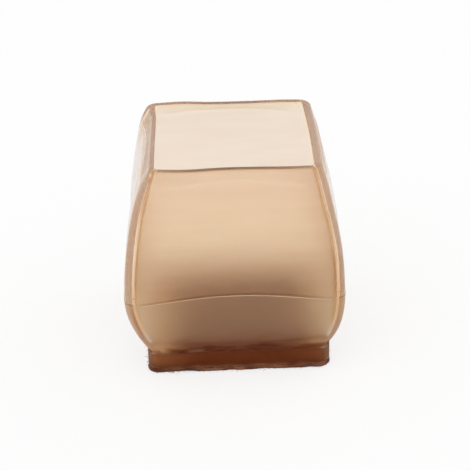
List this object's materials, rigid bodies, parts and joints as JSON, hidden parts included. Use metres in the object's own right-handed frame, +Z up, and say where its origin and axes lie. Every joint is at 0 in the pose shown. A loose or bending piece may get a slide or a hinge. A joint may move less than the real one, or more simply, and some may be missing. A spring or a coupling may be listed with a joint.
{
  "type": "chair leg cap",
  "caption": "Square push-on chair leg cap: a translucent bellied silicone sleeve, open at the top, with a felt pad bonded into its foot to slide quietly and spare the floor.",
  "frame": {"origin": "centre of the felt pad's underside, where the cap stands on the ground", "axes": "+Z up along the leg, out of the mouth; +X and +Y square to the flat sides"},
  "size_m": [0.0412, 0.0412, 0.0415],
  "materials": {
    "silicone": "frosted translucent amber silicone",
    "adhesive": "cured pale adhesive",
    "felt": "needle-punched felt with a fuzzy edge"
  },
  "bodies": {
    "root": {"silicone_sleeve": "silicone", "adhesive_film": "adhesive", "felt_pad": "felt"}
  },
  "joints": []
}
